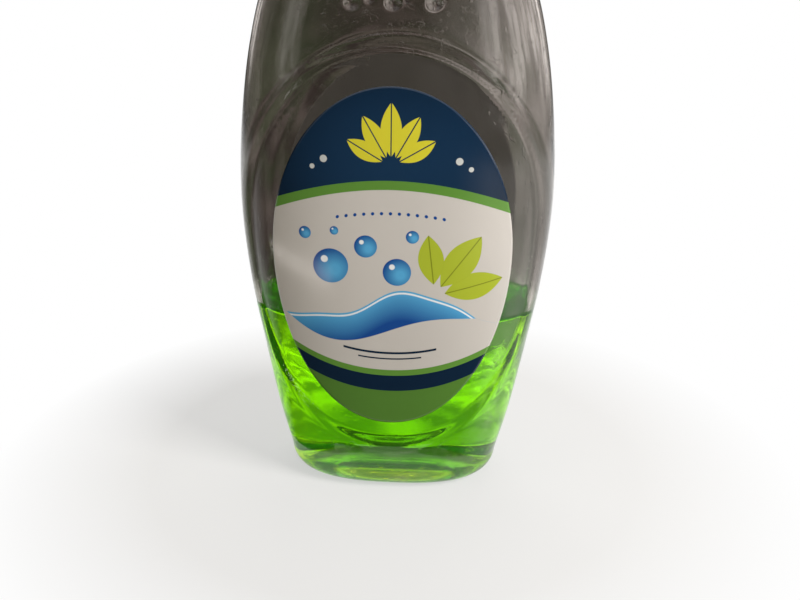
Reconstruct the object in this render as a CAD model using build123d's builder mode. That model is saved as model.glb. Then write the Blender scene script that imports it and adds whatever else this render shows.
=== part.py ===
"""Squeeze bottle of green hand soap: a clear oval body with an egg-shaped label panel sunk into
each face, grip bumps on the shoulder, and a ribbed screw cap with its sealing wad.

Units are millimetres. +Z is up, the front label faces -Y, and the origin is the middle of the
standing face. The body, the soap and both labels are cut from one family of oval sections, so
they follow each other when a size changes.
"""

import os
from math import cos, hypot, pi, radians, sin

from build123d import *

os.makedirs("parts", exist_ok=True)

# Body
body_width = 121.0
body_depth = 70.0
body_height = 238.0
wall = 1.0
heel_radius = 9.0
foot_ring = 3.0
push_up = 5.5
push_up_run_out = 2.0

# Height, width and depth of each oval section as shares of the body's, and its squareness
section_shares = [
    (0.105, 0.782, 0.926, 2.6),
    (0.223, 0.873, 0.960, 2.6),
    (0.357, 0.959, 0.989, 2.55),
    (0.496, 1.000, 1.000, 2.5),
    (0.630, 0.964, 0.989, 2.45),
    (0.723, 0.906, 0.946, 2.4),
    (0.786, 0.845, 0.886, 2.35),
    (0.853, 0.749, 0.789, 2.3),
    (0.912, 0.612, 0.666, 2.2),
    (0.958, 0.440, 0.534, 2.1),
    (0.985, 0.296, 0.436, 2.0),
]
heel_width_share = 0.714
heel_depth_share = 0.895
heel_squareness = 2.6
heel_steps = 3
round_squareness = 2.0
section_points = 20
egg_points = 24
dome_shares = [(0.0, 1.0), (0.45, 0.88), (0.8, 0.62), (1.0, 0.3)]

# Label panel, an egg sunk into each face behind a stepped rim
panel_half_width = 53.5
panel_waist_height = 110.0
panel_top_reach = 60.5
panel_bottom_reach = 84.5
panel_foot_squareness = 2.3
panel_sink = 1.2
rim_sink = 0.6
rim_width = 1.5

# Labels
film = 0.25
film_clearance = 0.03
front_label_half_width = 45.0
front_label_waist_height = 99.0
front_label_top_reach = 61.0
front_label_bottom_reach = 68.0
front_label_foot_squareness = 2.0
back_label_half_width = 49.0
back_label_waist_height = 108.0
back_label_top_reach = 57.0
back_label_bottom_reach = 77.0
back_label_foot_squareness = 2.3

# Soap
soap_level = 72.5
soap_clearance = 0.15

# Grip bumps, in rows up both faces of the shoulder
bump_radius = 2.7
bump_rise = 1.0
bump_columns = 3
bump_rows = 2
bump_pitch = 13.9
bump_row_pitch = 10.5
bump_low_row = 187.0

# Neck finish
neck_radius = 12.5
neck_bore = 10.9
neck_height = 10.2
neck_flare = 0.6
bead_radius = 15.4
bead_height = 2.0
bead_lift = 1.2
bead_round = 0.6
lip_round = 0.5

# Cap and wad
cap_bore = 14.1
cap_wall = 1.6
cap_deck = 1.6
cap_floor_gap = 0.6
cap_edge_round = 1.2
cap_mouth_chamfer = 0.5
rib_count = 48
rib_width = 0.9
rib_height = 0.45
rib_start = 1.0
wad_thickness = 1.0
wad_clearance = 0.3

# Worked out
bead_foot = body_height + bead_lift
land_height = bead_foot + bead_height + neck_height
cap_foot = bead_foot + bead_height + cap_floor_gap
cap_ceiling = land_height + wad_thickness
cap_top = cap_ceiling + cap_deck
cap_radius = cap_bore + cap_wall
heel_half_width = body_width / 2 * heel_width_share
heel_half_depth = body_depth / 2 * heel_depth_share
root_radius = neck_radius + neck_flare
outside_steps = [(0, panel_sink), (rim_width, rim_sink)]
inside_steps = [(rim_width, panel_sink)]


def bent(share, squareness):
    """A sine or cosine bent to a superellipse of one squareness."""
    return (1 if share >= 0 else -1) * abs(share) ** (2 / squareness)


def oval(half_width, half_depth, squareness):
    """Points round a superellipse, for a closed spline."""
    points = []
    for step in range(section_points):
        turn = 2 * pi * step / section_points
        across = half_width * bent(cos(turn), squareness)
        along = half_depth * bent(sin(turn), squareness)
        points.append((across, along))
    return points


def egg(half_width, waist_height, top_reach, bottom_reach, foot_squareness):
    """Points round an egg that is widest at its waist, for a closed spline."""
    points = []
    for step in range(egg_points):
        turn = 2 * pi * step / egg_points
        squareness = round_squareness if sin(turn) > 0 else foot_squareness
        reach = top_reach if sin(turn) > 0 else bottom_reach
        across = half_width * bent(cos(turn), squareness)
        points.append((across, waist_height + reach * bent(sin(turn), squareness)))
    return points


def body_sections(inset):
    """Height, half width, half depth and squareness of each body section, moved in by inset."""
    rows = []
    for step in range(heel_steps + 1):
        lean = radians(90) * step / heel_steps
        pull = heel_radius * (1 - sin(lean)) + inset * sin(lean)
        rise = heel_radius * (1 - cos(lean)) + inset * cos(lean)
        rows.append((rise, heel_half_width - pull, heel_half_depth - pull, heel_squareness))
    outer = [(heel_radius / body_height, heel_width_share, heel_depth_share, heel_squareness)]
    outer += section_shares
    outer += [(1.0, 2 * root_radius / body_width, 2 * root_radius / body_depth, round_squareness)]
    for below, here, above in zip(outer, outer[1:], outer[2:]):
        rise = (above[0] - below[0]) * body_height
        spread = (above[1] - below[1]) * body_width / 2
        slope = hypot(rise, spread)
        pull = inset * rise / slope
        rows.append(
            (
                here[0] * body_height + inset * spread / slope,
                here[1] * body_width / 2 - pull,
                here[2] * body_depth / 2 - pull,
                here[3],
            )
        )
    rows.append((body_height, root_radius - inset, root_radius - inset, round_squareness))
    return rows


def body_loft(inset):
    """The plain body with no panels, as one smooth solid moved in by inset."""
    with BuildPart() as hull:
        for height, half_width, half_depth, squareness in body_sections(inset):
            with BuildSketch(Plane.XY.offset(height)):
                with BuildLine():
                    Spline(*oval(half_width, half_depth, squareness), periodic=True)
                make_face()
        loft()
    return hull.part


def egg_prism(*outline):
    """An egg outline run out through both faces of the body."""
    with BuildPart() as prism:
        with BuildSketch(Plane.XZ):
            with BuildLine():
                Spline(*egg(*outline), periodic=True)
            make_face()
        extrude(amount=body_depth, both=True)
    return prism.part


def panel_pockets(inset, grow, sink):
    """What an egg of the panel's size plus grow, sunk to sink, takes off both faces."""
    with BuildPart() as pockets:
        add(
            egg_prism(
                panel_half_width + inset + grow,
                panel_waist_height,
                panel_top_reach + inset + grow,
                panel_bottom_reach + inset + grow,
                panel_foot_squareness,
            )
        )
        add(body_loft(inset + sink), mode=Mode.SUBTRACT)
    return pockets.part


def push_up_dome(inset):
    """The hollow under the foot, grown by inset."""
    half_width = heel_half_width - heel_radius - foot_ring + inset
    half_depth = heel_half_depth - heel_radius - foot_ring + inset
    with BuildPart() as dome:
        with BuildSketch(Plane.XY.offset(-push_up_run_out)):
            with BuildLine():
                Spline(*oval(half_width, half_depth, heel_squareness), periodic=True)
            make_face()
        for height_share, size_share in dome_shares:
            with BuildSketch(Plane.XY.offset(push_up * height_share + inset)):
                with BuildLine():
                    Spline(
                        *oval(
                            half_width * size_share,
                            half_depth * size_share,
                            heel_squareness,
                        ),
                        periodic=True,
                    )
                make_face()
        loft()
    return dome.part


def body_form(inset, panel_steps):
    """The body with its label panels and push-up, moved in by inset."""
    with BuildPart() as form:
        add(body_loft(inset))
        for grow, sink in panel_steps:
            add(panel_pockets(inset, grow, sink), mode=Mode.SUBTRACT)
        add(push_up_dome(inset), mode=Mode.SUBTRACT)
    return form.part


def label(side, *outline):
    """A film with an egg outline on the panel floor, on one side of the middle plane."""
    with BuildPart() as sheet:
        add(egg_prism(*outline))
        split(bisect_by=Plane.XZ, keep=side)
        add(body_loft(panel_sink - film_clearance - film), mode=Mode.INTERSECT)
        add(body_loft(panel_sink - film_clearance), mode=Mode.SUBTRACT)
    return sheet.part


def surface_point(hull, x, height, facing):
    """Where the body's surface lies at x and height on one face."""
    ray = Axis((x, 0, height), (0, facing, 0))
    return hull.find_intersection_points(ray)[-1][0]


# Bottle
hull = body_loft(0)
bump_ball = (bump_radius**2 + bump_rise**2) / (2 * bump_rise)

with BuildPart() as bottle:
    add(body_form(0, outside_steps))
    for facing in (-1, 1):
        for row in range(bump_rows):
            for column in range(bump_columns):
                x = bump_pitch * (column - (bump_columns - 1) / 2)
                z = bump_low_row + bump_row_pitch * row
                spot = surface_point(hull, x, z, facing)
                with Locations(spot - Vector(0, facing, 0) * (bump_ball - bump_rise)):
                    Sphere(bump_ball)
    add(body_form(wall, inside_steps), mode=Mode.SUBTRACT)
    with BuildSketch(Plane.XZ):
        with BuildLine():
            Polyline(
                (neck_bore, body_height - wall),
                (root_radius + wall / 2, body_height - wall),
                (neck_radius, body_height + wall / 2),
                (neck_radius, bead_foot),
                (bead_radius, bead_foot),
                (bead_radius, bead_foot + bead_height),
                (neck_radius, bead_foot + bead_height),
                (neck_radius, land_height),
                (neck_bore, land_height),
                close=True,
            )
        finish = make_face()
        fillet(finish.vertices().group_by(Axis.X)[-1], bead_round)
        fillet(finish.vertices().group_by(Axis.Z)[-1], lip_round)
    revolve(axis=Axis.Z)
bottle.part.label = "bottle"
export_step(bottle.part, "parts/bottle.step")

# Soap
with BuildPart() as soap:
    add(body_form(wall + soap_clearance, inside_steps))
    split(bisect_by=Plane.XY.offset(soap_level), keep=Keep.BOTTOM)
soap.part.label = "soap"
export_step(soap.part, "parts/soap.step")

# Labels
with BuildPart() as front_label:
    add(
        label(
            Keep.TOP,
            front_label_half_width,
            front_label_waist_height,
            front_label_top_reach,
            front_label_bottom_reach,
            front_label_foot_squareness,
        )
    )
front_label.part.label = "front_label"
export_step(front_label.part, "parts/front_label.step")

with BuildPart() as back_label:
    add(
        label(
            Keep.BOTTOM,
            back_label_half_width,
            back_label_waist_height,
            back_label_top_reach,
            back_label_bottom_reach,
            back_label_foot_squareness,
        )
    )
back_label.part.label = "back_label"
export_step(back_label.part, "parts/back_label.step")

# Cap
with BuildPart() as cap:
    with BuildSketch(Plane.XY.offset(cap_foot)):
        Circle(cap_radius)
    extrude(amount=cap_top - cap_foot)
    fillet(cap.edges().group_by(Axis.Z)[-1], cap_edge_round)
    with BuildSketch(Plane.XY.offset(cap_foot + rib_start)):
        with PolarLocations(cap_radius, rib_count):
            Rectangle(2 * rib_height, rib_width)
    extrude(amount=cap_top - cap_foot - rib_start - cap_edge_round)
    with BuildSketch(Plane.XY.offset(cap_foot)):
        Circle(cap_bore)
    extrude(amount=cap_ceiling - cap_foot, mode=Mode.SUBTRACT)
    mouth = cap.edges().group_by(Axis.Z)[0].sort_by(SortBy.RADIUS)[0]
    chamfer(mouth, cap_mouth_chamfer)
cap.part.label = "cap"
export_step(cap.part, "parts/cap.step")

# Wad
with BuildPart() as cap_liner:
    with BuildSketch(Plane.XY.offset(land_height)):
        Circle(cap_bore - wad_clearance)
    extrude(amount=wad_thickness)
cap_liner.part.label = "cap_liner"
export_step(cap_liner.part, "parts/cap_liner.step")
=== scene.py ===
"""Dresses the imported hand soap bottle: clear blown plastic, green soap, labels and a cap."""

from functools import partialmethod
from math import cos, pi, radians, sin

import bpy
import numpy as np
from mathutils import Matrix, Vector


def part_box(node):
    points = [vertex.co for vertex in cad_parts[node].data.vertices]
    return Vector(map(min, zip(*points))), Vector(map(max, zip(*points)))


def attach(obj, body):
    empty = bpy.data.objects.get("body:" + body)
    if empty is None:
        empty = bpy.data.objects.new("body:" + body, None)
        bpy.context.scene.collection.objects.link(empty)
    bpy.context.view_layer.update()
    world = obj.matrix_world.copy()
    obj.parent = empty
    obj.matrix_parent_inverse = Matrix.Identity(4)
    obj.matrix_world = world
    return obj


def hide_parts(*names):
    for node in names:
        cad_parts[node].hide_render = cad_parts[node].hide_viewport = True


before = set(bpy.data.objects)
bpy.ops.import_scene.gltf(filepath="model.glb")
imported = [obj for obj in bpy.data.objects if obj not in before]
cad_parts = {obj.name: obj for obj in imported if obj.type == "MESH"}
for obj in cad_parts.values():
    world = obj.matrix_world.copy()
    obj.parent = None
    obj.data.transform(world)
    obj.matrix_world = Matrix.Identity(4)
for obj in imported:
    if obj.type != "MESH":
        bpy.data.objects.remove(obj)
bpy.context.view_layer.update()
BOTTLE_LOW, BOTTLE_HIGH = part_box("bottle")
CAP_LOW, CAP_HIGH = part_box("cap")
WAD_LOW, WAD_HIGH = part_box("cap_liner")
SOAP_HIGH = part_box("soap")[1]
FRONT_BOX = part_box("front_label")
BACK_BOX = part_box("back_label")

bl_info = {
    "name": "Hand soap bottle",
    "version": (1, 0, 0),
    "blender": (4, 5, 0),
    "location": "3D View > Sidebar > Soap bottle",
    "description": "Builds a clear oval bottle of green hand soap, its labels and its screw cap",
    "category": "Object",
}

MM = 0.001
NECK_HEIGHT = 13.4 * MM
SEAM_RISE = 0.08 * MM
WIDEST = -2 * BOTTLE_LOW.x

# Height, width and depth of each oval section as shares of the body's, and its squareness
SECTIONS = (
    (0.105, 0.782, 0.926, 2.6),
    (0.223, 0.873, 0.960, 2.6),
    (0.357, 0.959, 0.989, 2.55),
    (0.496, 1.000, 1.000, 2.5),
    (0.630, 0.964, 0.989, 2.45),
    (0.723, 0.906, 0.946, 2.4),
    (0.786, 0.845, 0.886, 2.35),
    (0.853, 0.749, 0.789, 2.3),
    (0.912, 0.612, 0.666, 2.2),
    (0.958, 0.440, 0.534, 2.1),
    (0.985, 0.296, 0.436, 2.0),
)
HEEL_WIDTH_SHARE = 0.714
HEEL_DEPTH_SHARE = 0.895
HEEL_SQUARENESS = 2.6
# Squareness of a true oval
ROUND = 2.0

# How square the outlines of the panels and labels are over and under their widest place
EGG_TOP_POWER = 2.0
EGG_BOTTOM_POWER = 2.3
FRONT_LABEL_POWER = 2.0
BACK_LABEL_POWER = 2.3

BUMP_ROWS = (0, 1)
BUMP_COLUMNS = (-1, 0, 1)
CAP_RIBS = 48
NECK_THREAD_TURNS = 1.6
CAP_THREAD_TURNS = 1.5

# Columns round the body, and how much coarser its rows are on the inside
COLUMNS = 264
INSIDE_COARSE = 1.7
# How many times as wide the panel's sloping edge is on the inside
INSIDE_BEVEL = 2

WHITE = (1.0, 1.0, 1.0)
BLACK = (0.0, 0.0, 0.0)
# Scales of noise along each axis: even, and drawn out upwards
EVEN = (1.0, 1.0, 1.0)
UPRIGHT = (1.0, 1.0, 0.3)


def length(name, description, default):
    """A length setting in metres."""
    return bpy.props.FloatProperty(
        name=name, description=description, default=default, unit="LENGTH", precision=5
    )


def colour(name, description, default):
    """A colour setting, linear red, green and blue."""
    return bpy.props.FloatVectorProperty(
        name=name, description=description, default=default, subtype="COLOR", size=3, min=0, max=1
    )


class SoapBottleSizes(bpy.types.PropertyGroup):
    """Sizes of the bottle, its panels, its soap and its neck."""

    width: length("Width", "Across the widest oval, inside the seams", WIDEST - 2 * SEAM_RISE)
    depth: length("Depth", "Front to back before the panels are sunk", 70 * MM)
    height: length("Height", "Foot to the root of the neck", BOTTLE_HIGH.z - NECK_HEIGHT)
    wall: length("Wall", "Thickness of the blown wall", 1.0 * MM)
    heel_radius: length("Heel radius", "Rounding between side and foot", 9 * MM)
    foot_ring: length("Foot ring", "Width of the flat standing ring", 3 * MM)
    push_up: length("Push-up", "How far the middle of the foot is raised", 5.5 * MM)
    panel_half_width: length("Panel half width", "Half the label panel's width", 55.0 * MM)
    panel_waist: length("Panel waist", "Height of the panel's widest place", 110 * MM)
    panel_top: length("Panel top", "From the waist up to the panel's top", 62.0 * MM)
    panel_bottom: length("Panel bottom", "From the waist down to the panel's end", 86.0 * MM)
    panel_sink: length("Panel sink", "How deep the panel lies", 1.2 * MM)
    panel_bevel: length("Panel bevel", "Width of the panel's sloping edge", 2.6 * MM)
    rim_lip: length("Rim lip", "Height of the soft edge round the panel", 0.25 * MM)
    bump_radius: length("Bump radius", "Radius of a grip bump", 2.7 * MM)
    bump_rise: length("Bump rise", "Height of a grip bump", 1 * MM)
    bump_pitch: length("Bump pitch", "Spacing of the bumps across", 13.9 * MM)
    bump_row_pitch: length("Bump row pitch", "Spacing of the bump rows", 10.5 * MM)
    bump_row: length("Bump row", "Height of the lowest row of bumps", 187 * MM)
    seam_rise: length("Seam rise", "Height of the mould seam", SEAM_RISE)
    neck_radius: length("Neck radius", "Outside of the neck under the thread", 12.5 * MM)
    neck_bore: length("Neck bore", "Inside of the neck", 10.9 * MM)
    neck_flare: length("Neck flare", "Widening at the neck's root", 0.6 * MM)
    bead_radius: length("Bead radius", "Radius of the transfer ring", 15.4 * MM)
    bead_height: length("Bead height", "Thickness of the transfer ring", 2 * MM)
    bead_lift: length("Bead lift", "From the neck's root to the transfer ring", 1.2 * MM)
    thread_pitch: length("Thread pitch", "Rise of the thread in one turn", 4.233 * MM)
    thread_rise: length("Thread rise", "Height of the thread's ridge", 1.15 * MM)
    thread_foot: length("Thread foot", "Width of the ridge at the neck", 2.3 * MM)
    thread_crest: length("Thread crest", "Width of the ridge at its top", 0.45 * MM)
    thread_drop: length("Thread drop", "From the lip down to the thread's start", 8.2 * MM)
    soap_level: length("Soap level", "Height of the soap's surface", SOAP_HIGH.z)
    meniscus: length("Meniscus", "How far the soap climbs the wall", 0.9 * MM)


class SoapBottleCap(bpy.types.PropertyGroup):
    """Sizes of the cap and of its thread."""

    rib_rise: length("Rib rise", "Height of a grip rib", 0.45 * MM)
    clearance: length("Clearance", "From the wad's edge to the cap's bore", 0.3 * MM)
    mouth_chamfer: length("Mouth chamfer", "Chamfer inside the cap's mouth", 0.5 * MM)
    top_rounding: length("Top rounding", "Rounding of the cap's upper edge", 1.3 * MM)
    rim_width: length("Rim width", "Width of the flat rim on the top", 2.2 * MM)
    dish_depth: length("Dish depth", "Depth of the dished top", 0.35 * MM)
    thread_depth: length("Thread depth", "Height of the thread inside", 1.05 * MM)
    thread_foot: length("Thread foot", "Width of the ridge at the cap's bore", 1.9 * MM)
    thread_crest: length("Thread crest", "Width of the ridge at its top", 0.4 * MM)


class SoapBottleLabels(bpy.types.PropertyGroup):
    """Sizes of the two labels and of the fields of the front print."""

    film: length("Film", "Thickness of the label film", 0.15 * MM)
    front_waist: length("Front waist", "Height of the front label's widest place", 99 * MM)
    back_waist: length("Back waist", "Height of the back label's widest place", 108 * MM)
    dome_height: length("Dome", "Height of the upper field's edge at the middle", 127.4 * MM)
    dome_line: length("Dome line", "Width of the green line under the upper field", 3.3 * MM)
    band_height: length("Band", "Height of the lower band's top at the middle", 51.5 * MM)
    band_line: length("Band line", "Width of the green line over the band", 2.4 * MM)
    band_width: length("Band width", "Height of the lower band", 6.5 * MM)


class SoapBottleColours(bpy.types.PropertyGroup):
    """Colours of the plastics, the soap and the print."""

    plastic: colour("Plastic", "Tint of the clear plastic", (0.912, 0.898, 0.888))
    soap: colour("Soap", "Light that the soap lets through", (0.919, 0.992, 0.0))
    navy: colour("Navy", "Dark fields of the print", (0.005, 0.019, 0.045))
    white: colour("White", "Pale field of the print", (0.62, 0.59, 0.55))
    green: colour("Green", "Lines and foot of the print", (0.12, 0.29, 0.045))
    leaf: colour("Leaf", "Leaves in the pale field", (0.42, 0.50, 0.035))
    yellow: colour("Yellow", "Fan of leaves in the upper field", (0.72, 0.66, 0.04))
    deep: colour("Deep blue", "Dark end of the wave", (0.01, 0.07, 0.30))
    sky: colour("Sky blue", "Pale end of the wave", (0.10, 0.42, 0.72))
    pearl: colour("Pearl", "Drops in the upper field", (0.62, 0.64, 0.62))
    foam: colour("Foam", "Pale crest of the wave", (0.85, 0.88, 0.90))
    shine: colour("Shine", "Bright spot on each bubble", (0.9, 0.92, 0.92))
    cap: colour("Cap", "White plastic of the cap", (0.80, 0.80, 0.78))


# Shader maths


class Field:
    """A number that varies over a surface. Expressions on it add Math nodes."""

    def __init__(self, nodes, socket):
        self.nodes = nodes
        self.socket = socket

    def math(self, operation, *others):
        return self.nodes.math(operation, self, *others)

    def reflected(self, operation, other):
        return self.nodes.math(operation, other, self)

    __add__ = __radd__ = partialmethod(math, "ADD")
    __mul__ = __rmul__ = partialmethod(math, "MULTIPLY")
    __sub__ = partialmethod(math, "SUBTRACT")
    __rsub__ = partialmethod(reflected, "SUBTRACT")
    __truediv__ = partialmethod(math, "DIVIDE")
    __rtruediv__ = partialmethod(reflected, "DIVIDE")
    __pow__ = partialmethod(math, "POWER")
    __rpow__ = partialmethod(reflected, "POWER")
    __neg__ = partialmethod(math, "MULTIPLY", -1.0)
    __abs__ = partialmethod(math, "ABSOLUTE")
    root = partialmethod(math, "SQRT")
    most = partialmethod(math, "MAXIMUM")
    least = partialmethod(math, "MINIMUM")

    def held(self, low=0.0, high=1.0):
        """The field kept between two values."""
        return self.least(high).most(low)

    def above(self, edge, soft):
        """1 where the field is over edge and 0 where it is under, over a soft width."""
        return ((self - edge) / soft + 0.5).held()

    def below(self, edge, soft):
        """1 where the field is under edge and 0 where it is over, over a soft width."""
        return 1 - self.above(edge, soft)

    def between(self, low, high, soft):
        """1 between two edges and 0 beyond them, over a soft width."""
        return self.above(low, soft) * self.below(high, soft)


class Nodes:
    """The nodes of a material or of the world."""

    def __init__(self, owner):
        owner.use_nodes = True
        self.tree = owner.node_tree
        self.end = next(node for node in self.tree.nodes if node.type.startswith("OUTPUT"))

    def node(self, kind, settings=None, inputs=None):
        """A node of one kind with its settings, then the values or links of its sockets."""
        node = self.tree.nodes.new(kind)
        for key, value in (settings or {}).items():
            setattr(node, key, value)
        for key, value in (inputs or {}).items():
            self.feed(node.inputs[key], value)
        return node

    def feed(self, slot, value):
        """Links a socket or sets its value."""
        if isinstance(value, Field):
            self.tree.links.new(value.socket, slot)
        elif isinstance(value, bpy.types.NodeSocket):
            self.tree.links.new(value, slot)
        elif slot.type == "RGBA" and len(value) == 3:
            slot.default_value = (*value, 1.0)
        else:
            slot.default_value = value

    def math(self, operation, *values):
        """A Math node on fields and numbers in their order."""
        node = self.node("ShaderNodeMath", {"operation": operation}, dict(enumerate(values)))
        return Field(self, node.outputs[0])

    def mix(self, share, first, second):
        """A colour that goes from first to second as share goes from 0 to 1."""
        inputs = {"Factor": share, 6: first, 7: second}
        return self.node("ShaderNodeMix", {"data_type": "RGBA"}, inputs).outputs[2]

    def show(self, share, first, second):
        """Makes the surface go from the first shader to the second as share goes from 0 to 1."""
        inputs = {0: share, 1: first.outputs[0], 2: second.outputs[0]}
        blend = self.node("ShaderNodeMixShader", {}, inputs)
        self.feed(self.end.inputs["Surface"], blend.outputs[0])

    def rays(self):
        """1 for all rays that the eye follows, for mirrored rays and for bent rays."""
        path = self.node("ShaderNodeLightPath")
        kinds = ("Is Camera Ray", "Is Glossy Ray", "Is Transmission Ray")
        camera, mirrored, bent = (Field(self, path.outputs[kind]) for kind in kinds)
        return camera.most(mirrored).most(bent), mirrored, bent


class Finish(Nodes):
    """A material and its surface shader. Its x, y and z are places in millimetres."""

    def __init__(self, name):
        self.material = bpy.data.materials.new(name)
        super().__init__(self.material)
        self.shader = self.tree.nodes["Principled BSDF"]
        self.place = self.node("ShaderNodeTexCoord").outputs["Object"]
        parts = self.node("ShaderNodeSeparateXYZ", {}, {"Vector": self.place})
        self.x, self.y, self.z = (Field(self, part) * (1 / MM) for part in parts.outputs)

    def set(self, **values):
        """Sets or links the surface shader's sockets, named with underscores for spaces."""
        for key, value in values.items():
            self.feed(self.shader.inputs[key.replace("_", " ")], value)

    def noise(self, scale, detail=2.0, stretch=EVEN):
        """Smooth noise from 0 to 1, scale in cells per metre."""
        place = self.node("ShaderNodeMapping", {}, {"Vector": self.place, "Scale": stretch})
        inputs = {"Vector": place.outputs[0], "Scale": scale, "Detail": detail}
        return Field(self, self.node("ShaderNodeTexNoise", {}, inputs).outputs["Fac"])

    def patches(self, scale, detail, contrast, middle=0.5, stretch=EVEN, low=0.0):
        """Noise with more contrast round a middle value, from low to 1."""
        return ((self.noise(scale, detail, stretch) - 0.5) * contrast + middle).held(low)

    def bump(self, height, distance, strength):
        """Feeds the normal from a height field."""
        inputs = {"Height": height, "Distance": distance, "Strength": strength}
        self.set(Normal=self.node("ShaderNodeBump", {}, inputs).outputs["Normal"])


def shade(colour, share):
    """A colour made darker or lighter."""
    return tuple(part * share for part in colour)


# Shapes

TINY = 1e-12
NEAR_MIDDLE = 1e-6
# The innermost ring of a turned piece
INNERMOST = 0.5 * MM
# The most of a side that a rounded corner takes
ROUNDING_LIMIT = 0.49
# A screw ridge: steps in a turn, turns over which it fades, its width there, and its root's depth
RIDGE_STEPS = 56
RIDGE_FADE = 0.2
RIDGE_END_SHARE = 0.35
RIDGE_ROOT_SHARE = 0.15


def smooth_through(stations, places):
    """Values at places on smooth curves through stations, whose first column is the place."""
    stations = np.array(stations, float)
    where, values = stations[:, 0], stations[:, 1:]
    slopes = np.gradient(values, where, axis=0)
    places = np.clip(np.atleast_1d(np.asarray(places, float)), where[0], where[-1])
    low = np.clip(np.searchsorted(where, places, side="right") - 1, 0, len(where) - 2)
    gap = (where[low + 1] - where[low])[..., None]
    t = (places - where[low])[..., None] / gap
    return (
        values[low] * (2 * t**3 - 3 * t**2 + 1)
        + values[low + 1] * (3 * t**2 - 2 * t**3)
        + slopes[low] * gap * (t**3 - 2 * t**2 + t)
        + slopes[low + 1] * gap * (t**3 - t**2)
    )


def ease(share):
    """0 to 1 with soft ends."""
    share = np.clip(share, 0, 1)
    return share * share * (3 - 2 * share)


def circle_turns(count):
    """Even turns round a whole circle."""
    return np.linspace(0, 2 * pi, count, endpoint=False)


def superellipse(turns, across, along, power):
    """Points of a squared oval, whose power is 1 for a true oval."""
    c, s = np.cos(turns), np.sin(turns)
    return across * np.sign(c) * np.abs(c) ** power, along * np.sign(s) * np.abs(s) ** power


def oval_rings(rings, turns):
    """A grid of points, one oval ring for each height, half width, half depth and squareness."""
    height, across, along, squareness = (column[:, None] for column in np.array(rings).T)
    x, y = superellipse(turns[None, :], across, along, 2 / squareness)
    return np.stack([x, y, np.broadcast_to(height, x.shape)], axis=-1)


def round_rings(profile, turns):
    """A grid of points turned from a profile of radius and height."""
    return oval_rings([(height, radius, radius, ROUND) for radius, height in profile], turns)


def outward(grid):
    """Unit normals of a grid of rings that run upwards on the outside."""
    around = np.roll(grid, -1, axis=1) - np.roll(grid, 1, axis=1)
    upward = np.gradient(grid, axis=0)
    normal = np.cross(around, upward)
    return normal / np.maximum(np.linalg.norm(normal, axis=-1, keepdims=True), TINY)


def rounded(profile, rounds):
    """A profile with some corners rounded, each by its index, radius and number of points."""
    points = []
    for index, here in enumerate(profile):
        if index not in rounds:
            points.append(here)
            continue
        radius, count = rounds[index]
        here = np.array(here)
        before = np.array(profile[index - 1]) - here
        after = np.array(profile[(index + 1) % len(profile)]) - here
        spans = np.linalg.norm(before), np.linalg.norm(after)
        reach = min(radius, spans[0] * ROUNDING_LIMIT, spans[1] * ROUNDING_LIMIT)
        start = here + before / spans[0] * reach
        end = here + after / spans[1] * reach
        for t in np.linspace(0, 1, count):
            points.append(tuple(start * (1 - t) ** 2 + here * 2 * t * (1 - t) + end * t**2))
    return points


def divided(profile, step):
    """A profile with points added wherever two are further apart than twice a step."""
    points = []
    for here, after in zip(profile, profile[1:]):
        here, after = np.array(here), np.array(after)
        count = max(1, int(np.hypot(*(after - here)) / step))
        points += [tuple(here + (after - here) * k / count) for k in range(count)]
    return points + [profile[-1]]


def ridge(radius, rise, pitch, turns, start, foot, crest):
    """A screw ridge whose ends fade into the wall, as a closed grid of four-sided sections."""
    count = int(turns * RIDGE_STEPS)
    rows = []
    for share in np.arange(count + 1) / count:
        fade = min(1.0, share * turns / RIDGE_FADE, (1 - share) * turns / RIDGE_FADE)
        slim = (RIDGE_END_SHARE + (1 - RIDGE_END_SHARE) * fade) / 2
        turn = 2 * pi * turns * share
        height = start + pitch * turns * share
        root = radius - rise * RIDGE_ROOT_SHARE
        top = radius + rise * fade
        section = []
        for reach, offset in ((root, -foot), (top, -crest), (top, crest), (root, foot)):
            section.append((reach * cos(turn), reach * sin(turn), height + offset * slim))
        rows.append(section)
    return np.array(rows)


def skin_faces(rows, columns, first=0):
    """Quads through a grid of rings."""
    i = np.arange(rows - 1)[:, None] * columns + first
    j = np.arange(columns)[None, :]
    k = (j + 1) % columns
    quads = np.stack([i + j, i + k, i + columns + k, i + columns + j], axis=-1)
    return quads.reshape(-1, 4).tolist()


def turned_over(faces):
    """Faces that look the other way."""
    return [tuple(reversed(face)) for face in faces]


def closed_skin(grid):
    """Points and faces of a grid of rings, closed at both ends with a middle point."""
    rows, columns = grid.shape[:2]
    points = grid.reshape(-1, 3)
    faces = skin_faces(rows, columns)
    low, high = len(points), len(points) + 1
    last = (rows - 1) * columns
    for j in range(columns):
        k = (j + 1) % columns
        faces.append((low, k, j))
        faces.append((high, last + j, last + k))
    return np.vstack([points, grid[0].mean(axis=0), grid[-1].mean(axis=0)]), faces


def with_ridge(points, faces, sections, inside=False):
    """Adds a screw ridge to a mesh, as a closed bar."""
    first = len(points)
    rows, columns = sections.shape[:2]
    last = first + (rows - 1) * columns
    bar = turned_over(skin_faces(rows, columns, first))
    bar.append(tuple(first + j for j in range(columns)))
    bar.append(tuple(last + j for j in reversed(range(columns))))
    if inside:
        bar = turned_over(bar)
    return np.vstack([points, sections.reshape(-1, 3)]), faces + bar


def make_object(name, points, faces, finishes):
    """A smooth mesh object in the scene."""
    mesh = bpy.data.meshes.new(name)
    mesh.from_pydata(np.asarray(points).reshape(-1, 3).tolist(), [], faces)
    mesh.validate()
    mesh.polygons.foreach_set("use_smooth", [True] * len(mesh.polygons))
    for finish in finishes:
        mesh.materials.append(finish)
    mesh.update()
    piece = bpy.data.objects.new(name, mesh)
    bpy.context.scene.collection.objects.link(piece)
    return piece


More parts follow.
